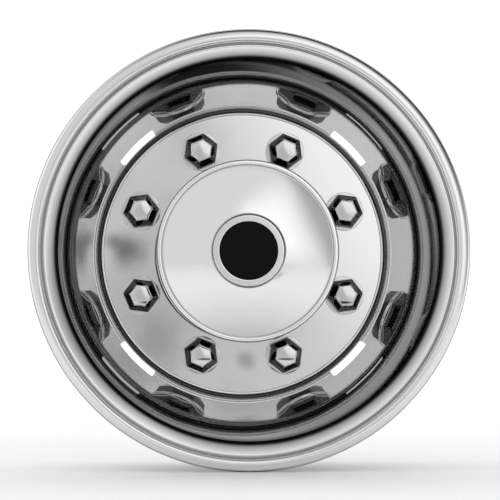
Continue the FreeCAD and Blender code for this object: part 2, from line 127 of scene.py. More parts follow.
class LinerSizes(bpy.types.PropertyGroup):
    """Section of the pressed dish, from the collar at the hub out to the rolled lip."""

    sheet: length("Sheet", "Thickness of the steel", 1.0)
    hub_hole_radius: length("Hub hole radius", "Hole in the disc for the axle end", 100.0)
    collar_depth: length("Collar depth", "How far the hole's edge is turned back", 7.0)
    collar_bend: length("Collar bend", "Bend between disc and collar", 2.5)
    disc_radius: length("Disc radius", "Outer edge of the flat disc", 175.4)
    disc_bend: length("Disc bend", "Rounding of that edge", 4.0)
    gutter_radius: length("Gutter radius", "Bottom of the gutter between disc and cone", 178.0)
    gutter_depth: length("Gutter depth", "Depth of the gutter behind the disc", 8.0)
    gutter_bend: length("Gutter bend", "Bend at the gutter's bottom", 2.0)
    cone_radius: length("Cone radius", "Where cone and barrel meet", 208.0)
    cone_height: length("Cone height", "Height of the corner of cone and barrel", 57.0)
    cone_bend: length("Cone bend", "Bend between cone and barrel", 4.0)
    brim_radius: length("Brim radius", "Where the barrel turns out into the flare", 225.0)
    brim_height: length("Brim height", "Height of that turn", 194.5)
    brim_bend: length("Brim bend", "Bend between barrel and flare", 7.0)
    flare_radius: length("Flare radius", "Outer edge of the flare", 240.5)
    flare_height: length("Flare height", "Height of that edge", 201.5)
    flare_bend: length("Flare bend", "Bend from flare to groove", 2.0)
    valley_radius: length("Groove radius", "Bottom of the groove inside the lip", 243.0)
    valley_drop: length("Groove drop", "Depth of the groove below the flare", 2.5)
    valley_bend: length("Groove bend", "Bend at the groove's bottom", 1.2)
    lip_inner_radius: length("Lip inner radius", "Where the lip's crown begins", 246.5)
    lip_inner_bend: length("Lip inner bend", "Bend on the inside of the crown", 4.0)
    lip_height: length("Lip height", "Height of the lip's crown", 207.5)
    lip_radius: length("Lip radius", "Outer radius of the whole cover", 260.0)
    lip_bend: length("Lip bend", "Bend on the outside of the crown", 9.0)
    lip_depth: length("Lip depth", "How far the lip is turned back", 13.5)
    hem_width: length("Hem width", "Edge turned inwards behind the lip", 5.5)
    hem_bend: length("Hem bend", "Bend between lip and hem", 2.5)
    slot_first: angle("First slot", "Angle of the first slot, from the right", 45.0)
    slot_angle: angle("Slot angle", "Width of a slot round the cone", 17.0)
    slot_start: length("Slot start", "From the gutter's bottom up the cone to the slot", 11.0)
    slot_width: length("Slot width", "Width of a slot up the cone", 18.5)
    slot_corner: length("Slot corner", "Corner radius of a slot", 3.0)


class HubSizes(bpy.types.PropertyGroup):
    """Section of the hub cover, from its foot in to the badge."""

    sheet: length("Sheet", "Thickness of the steel", 1.0)
    radius: length("Radius", "Outer radius of the wall", 105.0)
    flange: length("Flange", "Width of the foot that lies on the disc", 7.0)
    foot_bend: length("Foot bend", "Bend between foot and wall", 3.0)
    wall_height: length("Wall height", "Height of the wall", 146.0)
    bead_out: length("Bead out", "How far the rolled bead stands out", 4.0)
    bead_rise: length("Bead rise", "Height of the bead's lower slope", 2.5)
    bead_height: length("Bead height", "Height of the bead's crown", 154.0)
    bead_bend: length("Bead bend", "Bend on the outside of the crown", 3.0)
    bead_foot_bend: length("Bead foot bend", "Bends beside the crown", 2.0)
    bead_width: length("Bead width", "Width of the crown", 5.4)
    bead_drop: length("Bead drop", "Depth of the groove inside the bead", 2.6)
    bead_valley: length("Bead groove", "Width of that groove's slope", 1.4)
    bead_valley_bend: length("Groove bend", "Bend at that groove's bottom", 1.2)
    dome_radius: length("Dome radius", "Where the dome's two slopes meet", 74.5)
    dome_height: length("Dome height", "Height of that place", 165.6)
    dome_bend: length("Dome bend", "Bend between the two slopes", 180.0)
    boss_radius: length("Boss radius", "Foot of the boss round the badge", 44.0)
    boss_foot: length("Boss foot", "Height of that foot", 171.0)
    boss_taper: length("Boss taper", "How far the boss leans in", 2.0)
    boss_height: length("Boss height", "Height of the boss", 175.0)
    boss_bend: length("Boss bend", "Bends of the boss", 1.5)
    recess_depth: length("Recess depth", "Depth of the badge's recess", 2.0)
    recess_bend: length("Recess bend", "Bend at the recess floor", 0.4)
    badge_radius: length("Badge radius", "Radius of the black disc", 34.0)
    badge_thickness: length("Badge thickness", "Thickness of the black disc", 3.0)
    badge_edge: length("Badge edge", "Rounding of the disc's front edge", 1.0)
    badge_gap: length("Badge gap", "Clearance round the disc", 0.3)


class LugSizes(bpy.types.PropertyGroup):
    """Hexagonal lug caps and the round parts under them."""

    flange_radius: length("Flange radius", "Round foot of the cap", 24.2)
    flange_edge: length("Flange edge", "Rounding of the foot's edge", 0.6)
    flange_thickness: length("Flange thickness", "Thickness of the foot", 2.0)
    flats: length("Flats", "Width across the flats at the foot", 40.6)
    shank_height: length("Shank height", "Height where the crown begins", 17.0)
    shank_draft: angle("Shank draft", "Lean of the shank's sides", 3.0)
    height: length("Height", "Height of the cap", 32.0)
    crown_draft: angle("Crown draft", "Lean of the crown's sides", 27.0)
    edge: length("Edge", "Width of the rounding along the edges", 1.2)
    wall: length("Wall", "Thickness of the cap's top", 1.6)
    skirt_radius: length("Skirt radius", "Round skirt that passes the disc", 20.4)
    skirt_depth: length("Skirt depth", "How far that skirt reaches behind the disc's front", 8.0)
    hole_gap: length("Hole gap", "Clearance of the skirt in the disc", 0.4)
    socket_radius: length("Socket radius", "Room for the wheel's nut", 19.4)
    socket_height: length("Socket height", "Height of that room", 9.5)
    seat_radius: length("Seat radius", "Seat of the threaded sleeve in a removable cap", 18.37)
    seat_height: length("Seat height", "Height where that seat ends", 18.0)


class Finishes(bpy.types.PropertyGroup):
    """Colours of the metals and of the badge, with painted light and shade on the polished steel and the lug
    caps.
    """

    polished: share("Polished steel", "Brightness of the polished steel", 0.88)
    # Painted light: cone and hub wall are brighter than the rest of the steel, which lightens their
    # reflections.
    mirror: share("Mirror", "Brightness of cone and hub wall, which nothing has touched", 0.95)
    # Painted shade: flare and lip are darker than the disc, which dims their reflections.
    lip: share("Lip", "Brightness of flare and lip, which hands have dulled", 0.82)
    # Painted shade: the barrel is darker than the disc.
    deep_wall_shade: share("Deep wall", "Brightness of the barrel, which the buffing wheel hardly reaches", 0.84)
    # Painted dark reflection: the barrel darkens towards the brim.
    brim_shade: share("Wall at the brim", "Brightness of the barrel close to the brim", 0.7)
    # Painted shade: the dark lines beside bead, boss, cone corner and lip.
    seam: share("Seams", "Brightness of the fine lines beside bead, boss and lip", 0.32)
    # Painted shade in the gutter and a painted dark reflection round the brim's bend, both near black.
    groove: share("Grooves", "Brightness of the grooves, where polishing compound stays", 0.012)
    edge: colour("Edge tint", "Steel seen at a slant, next to its brightness from the front", (0.4, 0.4, 0.4))
    gloss: share("Gloss", "Roughness of the polished steel", 0.04)
    mill: colour("Mill finish", "Unpolished back of the sheet", (0.52, 0.52, 0.51))
    chrome: colour("Chrome", "Tops and feet of the lug caps", (0.7, 0.7, 0.71))
    # Painted dark reflection on the flanks of the lug caps.
    flank_shade: colour("Chrome on the flanks", "Flanks of the lug caps, where the plate is thin",
                         (0.07, 0.07, 0.075))
    spring: colour("Spring steel", "Retainers and clips", (0.36, 0.36, 0.37))
    zinc: colour("Zinc plate", "Jam nuts and sleeves", (0.55, 0.55, 0.53))
    badge: colour("Badge", "Smooth black disc", (0.003, 0.003, 0.003))


class StageSettings(bpy.types.PropertyGroup):
    """Camera, floor and light round the cover."""

    camera_azimuth: angle("Camera azimuth", "Camera's turn about the vertical", -2.5)
    camera_elevation: angle("Camera elevation", "Camera's height over the axis", -1.2)
    camera_distance: length("Camera distance", "From the camera to the lip's plane", 3000.0)
    lens: FloatProperty(name="Lens", description="Focal length in millimetres", default=184.7, min=1.0)
    floor_radius: length("Floor radius", "Radius of the round floor, which fades into the backdrop", 2400.0)
    floor_firm: length("Firm floor", "Radius up to which the floor doesn't fade", 350.0)
    floor_colour: colour("Floor colour", "Pale floor", (1.0, 1.0, 1.0))
    back_light: strength("Back light", "Strength of the light behind the cover", 1.2)
    front_light: strength("Front light", "Strength of the light before it", 0.76)
    lens_shade: strength("Shade at the lens", "Strength lost round the camera", 0.14)
    side_shade: strength("Shade at the side", "Strength lost far to the right", 0.3)
    box_light: strength("Soft box", "Extra strength of the soft box at the right", 0.36)
    box_turn: angle("Soft box turn", "Turn of the soft box upwards from the right", 25.0)
    card_radius: length("Card radius", "Radius of the dark card arched over the cover", 2500.0)
    card_front: angle("Card front", "From the wheel axis to the card's front edge", 52.0)
    card_back: angle("Card back", "From the wheel axis to the card's rear edge", 110.0)
    card_start: angle("Card start", "Where the arch starts, from the right", -30.0)
    card_end: angle("Card end", "Where the arch ends", 150.0)
    card_colour: colour("Card colour", "Dark card and dark cloth", (0.03, 0.03, 0.03))
    cloth_side: length("Cloth to the side", "How far right of the axis the dark cloth's middle lies", 130.0)
    cloth_before: length("Cloth before", "From the origin forwards to the cloth's middle", 1350.0)
    cloth_radius: length("Cloth radius", "Radius of the cloth, which fades towards its edge", 430.0)
    cloth_lift: length("Cloth lift", "Height of the cloth over the floor", 5.0)


class WheelCoverSettings(bpy.types.PropertyGroup):
    """All the sizes and colours of the cover."""

    liner: PointerProperty(type=LinerSizes)
    hub: PointerProperty(type=HubSizes)
    lug: PointerProperty(type=LugSizes)
    finish: PointerProperty(type=Finishes)
    stage: PointerProperty(type=StageSettings)


# Shader maths

class Wire:
    """A number in a shader: Python's operators on it add Math nodes."""

    def __init__(self, shader, socket):
        self.shader = shader
        self.socket = socket

    def maths(self, operation, *values):
        return self.shader.node("ShaderNodeMath", {"operation": operation}, *values)

    def __add__(self, other):
        return self.maths("ADD", self, other)

    def __sub__(self, other):
        return self.maths("SUBTRACT", self, other)

    def __rsub__(self, other):
        return self.maths("SUBTRACT", other, self)

    def __mul__(self, other):
        return self.maths("MULTIPLY", self, other)

    def __truediv__(self, other):
        return self.maths("DIVIDE", self, other)

    def __pow__(self, other):
        return self.maths("POWER", self, other)

    __radd__ = __add__
    __rmul__ = __mul__


def pick(sockets, name):
    """Socket at a place, or with an identifier or name, where _ stands for a space."""
    if isinstance(name, int):
        return sockets[name]
    same = [socket for socket in sockets if socket.identifier == name]
    return same[0] if same else sockets[name.replace("_", " ")]


def set_stops(elements, stops):
    """Give a colour ramp these stops (place, grey)."""
    while len(elements) < len(stops):
        elements.new(1.0)
    for element, (place, grey) in zip(elements, stops):
        element.position = place
        element.color = (grey, grey, grey, 1)


class Shader:
    """Node tree of a material or a world, filled by name."""

    def __init__(self, owner):
        owner.use_nodes = True
        self.tree = owner.node_tree
        self.tree.nodes.clear()

    def node(self, kind, settings=None, *values, output=0, **sockets):
        """Add a node, set it up, then fill its sockets in order or by name."""
        made = self.tree.nodes.new(kind)
        for name, value in (settings or {}).items():
            if name == "stops":
                set_stops(made.color_ramp.elements, value)
            else:
                setattr(made, name, value)
        filled = list(zip(made.inputs, values))
        filled += [(pick(made.inputs, name), value) for name, value in sockets.items()]
        for socket, value in filled:
            if isinstance(value, Wire):
                self.tree.links.new(value.socket, socket)
            else:
                socket.default_value = value
        return Wire(self, pick(made.outputs, output)) if made.outputs else made

    def place(self):
        """Object coordinates."""
        return self.node("ShaderNodeTexCoord", output="Object")

    def parts(self, vector):
        """The three numbers of a vector."""
        split = self.node("ShaderNodeSeparateXYZ", None, vector)
        return [Wire(self, out) for out in split.socket.node.outputs]

    def noise(self, vector, scale, detail=2.0):
        return self.node("ShaderNodeTexNoise", None, Vector=vector, Scale=scale, Detail=detail)

    def rise(self, value, start, end):
        """Number that grows smoothly from 0 at the start to 1 at the end."""
        return self.node("ShaderNodeMapRange", {"interpolation_type": "SMOOTHSTEP"}, Value=value,
                         From_Min=start, From_Max=end)

    def bump(self, height, strength, depth):
        return self.node("ShaderNodeBump", None, Strength=strength, Distance=depth, Height=height)

    def surface(self, **sockets):
        """Principled surface with these sockets, as the material's output."""
        self.node("ShaderNodeOutputMaterial", None, self.node("ShaderNodeBsdfPrincipled", None, **sockets))

    def matt(self, tint, cover):
        """Dull surface that fades where its cover falls to 0."""
        self.surface(Base_Color=(*tint, 1), Roughness=1.0, Specular_IOR_Level=0.0, Alpha=cover)


# Finishes

def brightness_and_shade_stops(liner, hub, finish):
    """Stops of the steel's brightness from the axis out, with painted light and shade: near black in the
    gutter and round the brim, dark lines beside bead, boss, cone corner and lip, a darker barrel and lip, and
    a brighter cone and hub wall.
    """
    bright, mirror, lip, wall = finish.polished, finish.mirror, finish.lip, finish.deep_wall_shade
    seam, dark = finish.seam, finish.groove
    bead = hub.radius + hub.bead_out
    bead_groove = bead - hub.bead_width - hub.bead_valley
    gutter, cone = liner.gutter_radius, liner.cone_radius
    brim, valley = liner.brim_radius, liner.valley_radius

    def line(radius, half_width, around, grey):
        """Fine line of painted shade in an even surface."""
        return [(radius - half_width, around), (radius, grey), (radius + half_width, around)]

    # Painted shade: a dark line round the boss's foot.
    boss = [(0, bright), (hub.boss_radius - 2.5 * MM, bright), (hub.boss_radius - 1 * MM, seam),
            (hub.boss_radius + 1 * MM, bright)]
    # Painted shade: dark lines on both sides of the bead; the hub wall is brighter as painted light.
    rim = [*line(bead_groove, 1.2 * MM, bright, seam), (hub.radius, mirror),
           *line(bead, 1 * MM, bright, seam)]
    # Painted shade: near black in the gutter between disc and cone.
    foot = [(liner.disc_radius + 0.3 * MM, bright), (gutter - 0.9 * MM, dark), (gutter + 0.6 * MM, dark),
            (gutter + 2 * MM, mirror)]
    # Painted shade: a dark line at the cone's corner and a darker barrel, which darkens to near black at the
    # brim as a painted dark reflection.
    barrel = [(cone - 2 * MM, mirror), (cone, seam), (cone + 1.5 * MM, wall), (cone + 7 * MM, wall),
              (brim - 3 * MM, finish.brim_shade), (brim - 0.9 * MM, dark)]
    # Painted dark reflection round the brim's bend, fading out onto the flare.
    flare = [(brim + 3 * MM, dark), (brim + 6 * MM, lip / 2), (liner.flare_radius - 2 * MM, bright)]
    # Painted shade: a dark line in the groove inside the lip, one at its outer edge, and a darker lip.
    edge = [*line(valley, 1.5 * MM, lip, seam / 2), (liner.lip_radius - 2 * MM, lip),
            (liner.lip_radius, seam)]
    stops = boss + rim + foot + barrel + flare + edge
    return [(radius / liner.lip_radius, grey) for radius, grey in stops]


def polished_steel(cover):
    """Mirror-polished sheet: fine rings from the buffing wheel, painted shade in the grooves and along fine
    lines, and patches of painted shade on the disc.
    """
    liner, hub, finish = cover.liner, cover.hub, cover.finish
    material = bpy.data.materials.new("polished_steel")
    shader = Shader(material)
    place = shader.place()
    x, y, z = shader.parts(place)
    radius = (x * x + z * z) ** 0.5
    rings = shader.noise(shader.node("ShaderNodeCombineXYZ", None, radius, y, 0.0), scale=2500.0)
    haze = shader.noise(place, scale=14.0, detail=4.0)
    stops = brightness_and_shade_stops(liner, hub, finish)
    polish_and_shade = shader.node("ShaderNodeValToRGB", {"stops": stops}, radius / liner.lip_radius)
    on_disc = 1 - shader.rise(radius, start=liner.disc_radius - liner.disc_bend, end=liner.gutter_radius)
    on_disc = on_disc * shader.rise(radius, start=hub.radius, end=hub.radius + hub.flange)
    # Patches of painted shade, which dim the disc's reflection at the listed places.
    for right, over, size, loss in SHADE_PATCHES:
        away = ((x - right) ** 2.0 + (z - over) ** 2.0) ** 0.5 + size * (haze - 0.5)
        polish_and_shade = polish_and_shade * (1 - loss * on_disc * (1 - shader.rise(away, start=0.1 * size, end=size)))
    shader.surface(Base_Color=polish_and_shade, Metallic=1.0, Specular_Tint=(*finish.edge, 1),
                   Roughness=finish.gloss * (0.6 + 0.8 * haze),
                   Normal=shader.bump(rings, strength=0.02, depth=0.01 * MM))
    return material


def mill_steel(finish):
    """Unpolished back of the sheet, with rolling marks and dull patches."""
    material = bpy.data.materials.new("mill_steel")
    shader = Shader(material)
    place = shader.place()
    x, y, z = shader.parts(place)
    marks = shader.noise(shader.node("ShaderNodeCombineXYZ", None, x * 900.0, y * 40.0, z * 40.0), scale=1.0)
    patches = shader.noise(place, scale=20.0, detail=5.0)
    shader.surface(Base_Color=(*finish.mill, 1), Metallic=1.0, Roughness=0.22 + 0.1 * patches + 0.06 * marks,
                   Normal=shader.bump(marks, strength=0.03, depth=0.02 * MM))
    return material


def chrome_plate(finish, lug):
    """Plate of the lug caps: chrome on top and at the foot, with a painted dark reflection on the flanks."""
    material = bpy.data.materials.new("chrome_plate")
    shader = Shader(material)
    place = shader.place()
    _, y, _ = shader.parts(place)
    haze = shader.noise(place, scale=60.0, detail=3.0)
    high = DISC_FRONT - y
    top = shader.rise(high, start=lug.height - 3 * lug.edge, end=lug.height - 0.5 * lug.edge)
    foot = 1 - shader.rise(high, start=lug.flange_thickness, end=lug.flange_thickness + lug.edge)
    # Painted dark reflection: the flanks between foot and top take the dark flank colour.
    tint = shader.node("ShaderNodeMix", {"data_type": "RGBA"}, Factor=top + foot, output="Result_Color",
                       A_Color=(*finish.flank_shade, 1), B_Color=(*finish.chrome, 1))
    shader.surface(Base_Color=tint, Metallic=1.0, Roughness=0.03 + 0.05 * haze)
    return material


def hardware_steel(name, tint, roughness):
    """Small hidden parts: dull metal with fine mottling."""
    material = bpy.data.materials.new(name)
    shader = Shader(material)
    mottle = shader.noise(shader.place(), scale=350.0, detail=4.0)
    shader.surface(Base_Color=(*tint, 1), Metallic=1.0, Roughness=roughness * (0.8 + 0.4 * mottle),
                   Normal=shader.bump(mottle, strength=0.15, depth=0.02 * MM))
    return material


def black_badge(finish):
    """Smooth black disc with a faint moulded grain."""
    material = bpy.data.materials.new("black_badge")
    shader = Shader(material)
    grain = shader.noise(shader.place(), scale=1800.0)
    shader.surface(Base_Color=(*finish.badge, 1), Roughness=0.3 + 0.1 * grain, Specular_IOR_Level=0.08,
                   Normal=shader.bump(grain, strength=0.05, depth=0.02 * MM))
    return material


# Meshes

def rounded_section(bm, corners):
    """Wire through the corners (radius, height, bend) in the XY plane, with its bends rounded."""
    verts = [bm.verts.new((r, DISC_FRONT - high, 0)) for r, high, _ in corners]
    for start, end in zip(verts, verts[1:]):
        bm.edges.new((start, end))
    for vert, (_, _, bend) in zip(verts, corners):
        if bend:
            round_corner(bm, vert, bend)
    for edge in [e for e in bm.edges if e.calc_length() > 4 * SUPPORT]:
        support_run(edge)


def round_corner(bm, vert, bend):
    """Round one corner of a wire with an arc of the bend's radius."""
    back, ahead = (e.other_vert(vert).co - vert.co for e in vert.link_edges)
    half = back.angle(ahead) / 2
    turn = math.pi - 2 * half
    steps = max(2, math.ceil(turn / BEND_STEP), math.ceil(turn * bend / ARC_STEP))
    bmesh.ops.bevel(bm, geom=[vert], offset=bend / math.tan(half), offset_type="OFFSET", segments=steps,
                    profile=0.5, affect="VERTICES", material=-1)


def support_run(edge):
    """Split a straight run close to both ends, so that its shading stays straight."""
    near, far = edge.verts
    run = edge.calc_length()
    _, middle = bmesh.utils.edge_split(edge, near, SUPPORT / run)
    rest = next(e for e in middle.link_edges if far in e.verts)
    bmesh.utils.edge_split(rest, far, SUPPORT / (run - SUPPORT))


def turn_about_axis(bm, turn):
    bmesh.ops.rotate(bm, verts=bm.verts, cent=(0, 0, 0), matrix=Matrix.Rotation(turn, 3, WHEEL_AXIS))


def spin_section(bm, steps):
    """Turn the wire once round the wheel axis."""
    turn_about_axis(bm, math.pi / steps)
    bmesh.ops.spin(bm, geom=bm.verts[:] + bm.edges[:], cent=(0, 0, 0), axis=WHEEL_AXIS, angle=math.tau,
                   steps=steps, use_merge=True)
    bmesh.ops.remove_doubles(bm, verts=bm.verts, dist=MERGE)


def face_forwards(bm):
    """Turn an open sheet's faces so that its polished side looks forwards."""
    bmesh.ops.recalc_face_normals(bm, faces=bm.faces)
    if sum(f.normal.dot(FORWARD) * f.calc_area() for f in bm.faces) < 0:
        bmesh.ops.reverse_faces(bm, faces=bm.faces)


def new_piece(name, bm, *materials):
    """Object made of the mesh."""
    mesh = bpy.data.meshes.new(name)
    bm.to_mesh(mesh)
    bm.free()
    for material in materials:
        mesh.materials.append(material)
    piece = bpy.data.objects.new(name, mesh)
    bpy.context.scene.collection.objects.link(piece)
    return piece


def bake_modifiers(piece):
    """Make the piece's modifiers part of its mesh."""
    graph = bpy.context.evaluated_depsgraph_get()
    mesh = bpy.data.meshes.new_from_object(piece.evaluated_get(graph))
    piece.modifiers.clear()
    piece.data = mesh


def sheet_metal(name, corners, thickness, polished, back):
    """Piece spun from the section of its polished side, with the unpolished back behind it."""
    bm = bmesh.new()
    rounded_section(bm, corners)
    spin_section(bm, SPIN_STEPS)
    face_forwards(bm)
    piece = new_piece(name, bm, polished, back)
    wall = piece.modifiers.new("wall", "SOLIDIFY")
    wall.thickness = thickness
    wall.offset = -1
    wall.use_even_offset = True
    wall.material_offset = 1
    bake_modifiers(piece)
    return piece


def pierce(piece, cutters):
    """Cut the shapes of one mesh out of a piece."""
    tool = new_piece("cutters", cutters)
    cut = piece.modifiers.new("holes", "BOOLEAN")
    cut.operation = "DIFFERENCE"
    cut.solver = "EXACT"
    cut.object = tool
    bake_modifiers(piece)
    bpy.data.objects.remove(tool)


def hand_over(piece, slot, *nodes):
    """Shade a finished piece and tie it to the frame."""
    piece.data.shade_smooth()
    piece.data.set_sharp_from_angle(angle=SHARP)
    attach(piece, "root")
    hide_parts(*nodes)


def lug_place(lug):
    """Matrix that stands a lug cap, made on the wheel axis, over its stud."""
    low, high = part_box(f"lug_cover_{lug}")
    centre = (low + high) / 2
    turn = math.atan2(centre.z, centre.x)
    return Matrix.Translation((centre.x, 0, centre.z)) @ Matrix.Rotation(-turn, 4, WHEEL_AXIS)


# Sections

def liner_section(liner):
    """Corners of the liner's polished side, from the collar out to the hem."""
    back = liner.lip_height - liner.lip_depth
    return [
        (liner.hub_hole_radius, -liner.collar_depth, 0),
        (liner.hub_hole_radius, 0, liner.collar_bend),
        (liner.disc_radius, 0, liner.disc_bend),
        (liner.gutter_radius, -liner.gutter_depth, liner.gutter_bend),
        (liner.cone_radius, liner.cone_height, liner.cone_bend),
        (liner.brim_radius, liner.brim_height, liner.brim_bend),
        (liner.flare_radius, liner.flare_height, liner.flare_bend),
        (liner.valley_radius, liner.flare_height - liner.valley_drop, liner.valley_bend),
        (liner.lip_inner_radius, liner.lip_height, liner.lip_inner_bend),
        (liner.lip_radius, liner.lip_height, liner.lip_bend),
        (liner.lip_radius, back, liner.hem_bend),
        (liner.lip_radius - liner.hem_width, back - liner.hem_bend / 2, 0),
    ]


def hub_section(hub):
    """Corners of the hub cover's polished side, from the foot in to the middle."""
    bead = hub.radius + hub.bead_out
    ridge = bead - hub.bead_width
    recess = hub.badge_radius + hub.badge_gap
    floor = hub.boss_height - hub.recess_depth
    return [
        (hub.radius + hub.flange, hub.sheet, 0),
        (hub.radius, hub.sheet, hub.foot_bend),
        (hub.radius, hub.wall_height, hub.bead_foot_bend),
        (bead, hub.wall_height + hub.bead_rise, hub.bead_foot_bend),
        (bead, hub.bead_height, hub.bead_bend),
        (ridge, hub.bead_height, hub.bead_foot_bend),
        (ridge - hub.bead_valley, hub.bead_height - hub.bead_drop, hub.bead_valley_bend),
        (hub.dome_radius, hub.dome_height, hub.dome_bend),
        (hub.boss_radius, hub.boss_foot, hub.boss_bend),
        (hub.boss_radius - hub.boss_taper, hub.boss_height, hub.boss_bend),
        (recess, hub.boss_height, hub.sheet + hub.recess_bend / 2),
        (recess, floor, hub.recess_bend),
        (0, floor, 0),
    ]


def badge_section(hub):
    """Corners of the black disc, from the middle of its back round to the middle of its front."""
    floor = hub.boss_height - hub.recess_depth
    front = floor + hub.badge_thickness
    return [
        (0, floor, 0),
        (hub.badge_radius, floor, hub.recess_bend),
        (hub.badge_radius, front, hub.badge_edge),
        (0, front, 0),
    ]


def shoulder_room(lug):
    """Radius of a cap's hollow where the crown begins."""
    return lug.flats / 2 - lug.shank_height * math.tan(lug.shank_draft) - lug.wall


def cap_section(lug, skirt, room):
    """Corners of a lug cap's round parts: foot, skirt and the hollow inside."""
    top = lug.height - lug.wall
    top_radius = shoulder_room(lug) - (top - lug.shank_height) * math.tan(lug.crown_draft)
    return [
        (lug.flange_radius - lug.flange_edge, lug.flange_thickness, 0),
        (lug.flange_radius, lug.flange_thickness, lug.flange_edge),
        (lug.flange_radius, 0, 0),
        (lug.skirt_radius, 0, 0),
        (lug.skirt_radius, -skirt, 0),
        (lug.socket_radius, -skirt, 0),
        (lug.socket_radius, lug.socket_height, 0),
        *room,
        (top_radius, top, 0),
        (0, top, 0),
    ]


# Lug caps and cutters

def hexagon_ring(bm, lug, high):
    """Corners of the cap's hexagon at a height."""
    across = lug.flats / 2 - min(high, lug.shank_height) * math.tan(lug.shank_draft)
    across -= max(high - lug.shank_height, 0) * math.tan(lug.crown_draft)
    flat = Matrix.Rotation(math.radians(90), 4, "X")
    corner = across / math.cos(math.pi / HEXAGON)
    ring = bmesh.ops.create_circle(bm, cap_ends=False, segments=HEXAGON, radius=corner,
                                   matrix=Matrix.Translation((0, DISC_FRONT - high, 0)) @ flat)
    return {e for v in ring["verts"] for e in v.link_edges}


def lug_cap_mesh(lug, skirt, room):
    """Hexagonal crown on a round foot, hollow inside, where the second material goes."""
    bm = bmesh.new()
    foot = hexagon_ring(bm, lug, lug.flange_thickness)
    shoulder = hexagon_ring(bm, lug, lug.shank_height)
    top = hexagon_ring(bm, lug, lug.height)
    bmesh.ops.bridge_loops(bm, edges=list(foot | shoulder))
    bmesh.ops.bridge_loops(bm, edges=list(shoulder | top))
    bmesh.ops.edgeloop_fill(bm, edges=list(top))
    inner = [e for e in bm.edges if not e.is_boundary]
    bmesh.ops.bevel(bm, geom=inner, offset=lug.edge, offset_type="OFFSET",
                    segments=EDGE_STEPS, profile=0.5, affect="EDGES", material=-1)
    round_parts = bmesh.new()
    rounded_section(round_parts, cap_section(lug, skirt, room))
    spin_section(round_parts, CAP_STEPS)
    widest = (lug.socket_radius + lug.skirt_radius) / 2
    for face in round_parts.faces:
        hollow = all(math.hypot(v.co.x, v.co.z) < widest for v in face.verts)
        face.material_index = 1 if hollow else 0
    join(bm, round_parts)
    rim = [e for e in bm.edges if e.is_boundary]
    bmesh.ops.triangle_fill(bm, use_beauty=True, edges=rim, normal=FORWARD)
    bmesh.ops.recalc_face_normals(bm, faces=bm.faces)
    return bm


def join(bm, other):
    """Add another mesh to this one."""
    mesh = bpy.data.meshes.new("join")
    other.to_mesh(mesh)
    other.free()
    bm.from_mesh(mesh)
    bpy.data.meshes.remove(mesh)


def slot_cutter(liner, turn):
    """Curved block with rounded corners that pierces the cone square to its wall."""
    foot = Vector((liner.gutter_radius, DISC_FRONT + liner.gutter_depth, 0))
    up = (Vector((liner.cone_radius, DISC_FRONT - liner.cone_height, 0)) - foot).normalized()
    out = Vector((-up.y, up.x, 0))
    near = foot + up * liner.slot_start
    far = near + up * liner.slot_width
    through = liner.sheet + 2 * CUT_PAST
    bm = bmesh.new()
    inside = -CUT_PAST * out
    corners = [near + inside, far + inside, far + inside + through * out, near + inside + through * out]
    first = bm.faces.new([bm.verts.new(c) for c in corners])
    turn_about_axis(bm, liner.slot_angle / 2)
    steps = round(liner.slot_angle / math.tau * SPIN_STEPS)
    bmesh.ops.spin(bm, geom=[first], cent=(0, 0, 0), axis=WHEEL_AXIS, angle=-liner.slot_angle, steps=steps)
    cap_area = through * liner.slot_width
    caps = [f for f in bm.faces if math.isclose(f.calc_area(), cap_area, rel_tol=0.01)]
    ends = {e for f in caps for e in f.edges if math.isclose(e.calc_length(), through, rel_tol=0.01)}
    bmesh.ops.bevel(bm, geom=list(ends), offset=liner.slot_corner, offset_type="OFFSET",
                    segments=CORNER_STEPS, profile=0.5, affect="EDGES", material=-1)
    bmesh.ops.recalc_face_normals(bm, faces=bm.faces)
    turn_about_axis(bm, -turn)
    return bm


def hole_cutters(liner, lug):
    """All the shapes that pierce the liner: round at the lugs, curved bars between them."""
    bm = bmesh.new()
    along = Matrix.Rotation(math.radians(90), 4, "X")
    hole = lug.skirt_radius + lug.hole_gap
    for n in LUGS:
        stud = lug_place(n).translation
        stand = Matrix.Translation((stud.x, DISC_FRONT + liner.sheet / 2, stud.z)) @ along
        bmesh.ops.create_cone(bm, cap_ends=True, segments=CAP_STEPS, radius1=hole, radius2=hole,
                              depth=liner.sheet + 2 * CUT_PAST, matrix=stand)
    for n in range(SLOTS):
        join(bm, slot_cutter(liner, liner.slot_first + n * math.tau / SLOTS))
    return bm


# Operators

class WHEELCOVER_OT_liner(bpy.types.Operator):
    """Spin the pressed dish and pierce its lug holes and slots"""

    bl_idname = "wheel_cover.liner"
    bl_label = "Wheel Liner"

    def execute(self, context):
        cover = context.scene.wheel_cover
        piece = sheet_metal("liner_shell", liner_section(cover.liner), cover.liner.sheet,
                            polished_steel(cover), mill_steel(cover.finish))
        pierce(piece, hole_cutters(cover.liner, cover.lug))
        hand_over(piece, "polished_stainless", "wheel_liner")
        return {"FINISHED"}


class WHEELCOVER_OT_hub(bpy.types.Operator):
    """Spin the domed hub cover with its rolled bead"""

    bl_idname = "wheel_cover.hub"
    bl_label = "Hub Cover"

    def execute(self, context):
        cover = context.scene.wheel_cover
        piece = sheet_metal("hub_shell", hub_section(cover.hub), cover.hub.sheet,
                            bpy.data.materials["polished_steel"], bpy.data.materials["mill_steel"])
        hand_over(piece, "polished_stainless", "hub_cover")
        return {"FINISHED"}


